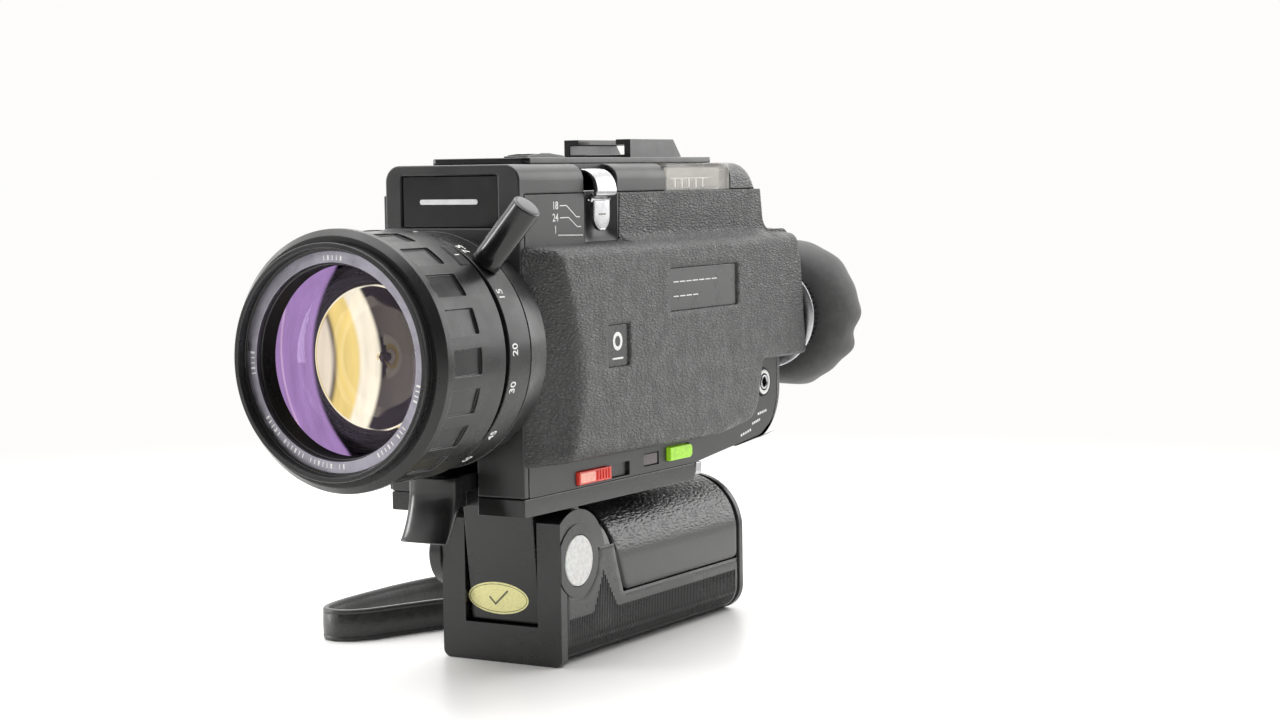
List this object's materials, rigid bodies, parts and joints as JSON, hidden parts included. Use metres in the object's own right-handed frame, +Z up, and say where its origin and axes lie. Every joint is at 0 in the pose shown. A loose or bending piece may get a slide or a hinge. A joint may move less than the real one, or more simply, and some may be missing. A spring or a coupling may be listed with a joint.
{
  "type": "cine camera",
  "caption": "Cartridge cine camera with a zoom lens, folding pistol grip, footage window, eyecup and wrist strap.",
  "frame": {"origin": "mouth of the tripod socket, in the flat underside of the folded grip", "axes": "+X towards the operator's left, -Y along the view of the lens, +Z up"},
  "size_m": [0.1099, 0.2398, 0.1467],
  "materials": {
    "housing": "satin moulded",
    "grain": "moulded leather grain",
    "black_gloss": "polished",
    "lens_metal": "black anodised",
    "yoke_paint": "gloss black over die casting",
    "chrome": "bright",
    "steel": "ground",
    "brass": "turned",
    "disc": "satin white",
    "glass": "coated",
    "window": "clear, aged",
    "rubber": "soft matte",
    "leather": "grained strap",
    "red": "moulded",
    "lamp_red": "dark red lens",
    "green": "moulded",
    "board": "laminate",
    "motor": "plated can",
    "gear": "moulded acetal"
  },
  "bodies": {
    "camera_body": {"main_housing": "housing", "left_side_panel": "housing", "left_cover": "grain", "name_plate": "black_gloss", "right_cover": "housing", "casing_screws": "steel", "door_hinge_pin": "steel", "top_plate": "black_gloss", "accessory_shoe": "black_gloss", "counter_window": "window", "battery_lamp": "lamp_red", "remote_jack": "chrome", "lens_barrel": "lens_metal", "rear_lens_group": "lens_metal", "beam_splitter": "glass", "exposure_meter": "motor", "finder_tube": "lens_metal", "eyepiece_tube": "lens_metal", "eyepiece_lens": "glass", "eyecup": "rubber", "base_plate": "yoke_paint", "hinge_block": "yoke_paint", "grip_catch": "chrome", "trigger_pin": "steel", "trigger_spring": "steel", "film_chamber": "housing", "film_gate": "steel", "drive_motor": "motor", "circuit_board": "board"},
    "grip": {"grip_yoke": "yoke_paint", "hinge_pin": "yoke_paint", "grip_shell": "housing", "grip_end_cap": "housing", "battery_tray": "housing"},
    "grip_release": {"release_button": "disc"},
    "battery_door": {"battery_cover": "grain"},
    "strap": {"wrist_strap": "leather"},
    "focus": {"focus_ring": "lens_metal", "front_cell": "lens_metal", "name_ring": "lens_metal", "front_lens": "glass"},
    "zoom": {"zoom_ring": "lens_metal", "zoom_lever": "black_gloss"},
    "zoom_carriage": {"zoom_lens_group": "lens_metal"},
    "trigger_lever": {"trigger": "black_gloss"},
    "speed_selector": {"speed_lever": "chrome"},
    "run_lock": {"power_slider": "red"},
    "check_button": {"battery_check_button": "green"},
    "rocker": {"zoom_rocker": "black_gloss"},
    "door": {"film_door": "grain"},
    "latch": {"door_latch": "black_gloss"},
    "diopter": {"diopter_ring": "lens_metal"},
    "motor_rotor": {"motor_pinion": "brass"},
    "idler": {"idler_gear": "gear"},
    "shutter_rotor": {"shutter": "steel"},
    "worm": {"worm_shaft": "gear"},
    "takeup": {"takeup_spindle": "gear"},
    "counter": {"counter_drum": "gear"},
    "claw_arm": {"claw": "steel"},
    "iris": {"iris_vane": "steel"}
  },
  "joints": [
    {"name": "grip_fold", "type": "hinge", "parent": "camera_body", "child": "grip", "pos_m": [0, 0, 0.029], "axis": [-1, 0, 0], "range_deg": [0, 90]},
    {"name": "grip_release_press", "type": "slide", "parent": "grip", "child": "grip_release", "axis": [-1, 0, 0], "range_m": [0, 0.001]},
    {"name": "battery_cover_off", "type": "slide", "parent": "grip", "child": "battery_door", "axis": [1, 0, 0], "range_m": [0, 0.02]},
    {"name": "strap_hang", "type": "hinge", "parent": "grip", "child": "strap", "pos_m": [-0.025, 0.086, 0.007], "axis": [-1, 0, 0], "range_deg": [-180, 0]},
    {"name": "focus_turn", "type": "hinge", "parent": "camera_body", "child": "focus", "pos_m": [0, -0.06, 0.09], "axis": [0, 1, 0], "range_deg": [-60, 120]},
    {"name": "zoom_turn", "type": "hinge", "parent": "camera_body", "child": "zoom", "pos_m": [0, -0.045, 0.09], "axis": [0, 1, 0], "range_deg": [-20, 70]},
    {"name": "zoom_travel", "type": "slide", "parent": "camera_body", "child": "zoom_carriage", "axis": [0, 1, 0], "range_m": [-0.0089, 0.0025]},
    {"name": "trigger_pull", "type": "hinge", "parent": "camera_body", "child": "trigger_lever", "pos_m": [0, -0.021, 0.054], "axis": [1, 0, 0], "range_deg": [0, 7]},
    {"name": "speed_select", "type": "slide", "parent": "camera_body", "child": "speed_selector", "axis": [0, 0, -1], "range_m": [0, 0.0039]},
    {"name": "run_lock_slide", "type": "slide", "parent": "camera_body", "child": "run_lock", "axis": [0, 1, 0], "range_m": [0, 0.011]},
    {"name": "battery_check_press", "type": "slide", "parent": "camera_body", "child": "check_button", "axis": [-1, 0, 0], "range_m": [0, 0.0011]},
    {"name": "zoom_rocker_tilt", "type": "hinge", "parent": "camera_body", "child": "rocker", "pos_m": [0, 0.012, 0.14], "axis": [1, 0, 0], "range_deg": [-3, 3]},
    {"name": "film_door_swing", "type": "hinge", "parent": "camera_body", "child": "door", "pos_m": [-0.0242, 0.009, 0.09], "axis": [0, 0, 1], "range_deg": [0, 100]},
    {"name": "door_latch_slide", "type": "slide", "parent": "camera_body", "child": "latch", "axis": [0, 1, 0], "range_m": [0, 0.004]},
    {"name": "diopter_turn", "type": "hinge", "parent": "camera_body", "child": "diopter", "pos_m": [0.012, 0.133, 0.09], "axis": [0, 1, 0], "range_deg": [-90, 90]},
    {"name": "shutter_spin", "type": "hinge", "parent": "camera_body", "child": "shutter_rotor", "pos_m": [-0.005, 0.008, 0.08], "axis": [0, 1, 0], "continuous": true},
    {"name": "motor_spin", "type": "hinge", "parent": "camera_body", "child": "motor_rotor", "pos_m": [0.0082, 0.008, 0.0653], "axis": [0, 1, 0], "continuous": true},
    {"name": "idler_spin", "type": "hinge", "parent": "camera_body", "child": "idler", "pos_m": [-0.002, 0.008, 0.068], "axis": [0, 1, 0], "continuous": true},
    {"name": "worm_spin", "type": "hinge", "parent": "camera_body", "child": "worm", "pos_m": [0.0142, 0.008, 0.068], "axis": [0, 1, 0], "continuous": true},
    {"name": "takeup_spin", "type": "hinge", "parent": "camera_body", "child": "takeup", "pos_m": [0, 0.053, 0.0761], "axis": [1, 0, 0], "continuous": true},
    {"name": "counter_turn", "type": "hinge", "parent": "camera_body", "child": "counter", "pos_m": [0.0142, 0.07, 0.1326], "axis": [0, 1, 0], "range_deg": [0, 300]},
    {"name": "claw_stroke", "type": "slide", "parent": "camera_body", "child": "claw_arm", "axis": [0, 0, -1], "range_m": [0, 0.0042]},
    {"name": "iris_turn", "type": "hinge", "parent": "camera_body", "child": "iris", "pos_m": [0, -0.018, 0.108], "axis": [0, 1, 0], "range_deg": [0, 25]}
  ],
  "couplings": [
    {"joint": "strap_hang", "follows": "grip_fold", "ratio": -2},
    {"joint": "zoom_turn", "follows": "zoom_travel", "rad_per_m": -136.99},
    {"joint": "motor_spin", "follows": "shutter_spin", "ratio": 1.7778},
    {"joint": "idler_spin", "follows": "shutter_spin", "ratio": -0.57143},
    {"joint": "worm_spin", "follows": "shutter_spin", "ratio": -1.1429},
    {"joint": "takeup_spin", "follows": "shutter_spin", "ratio": -0.057143}
  ]
}
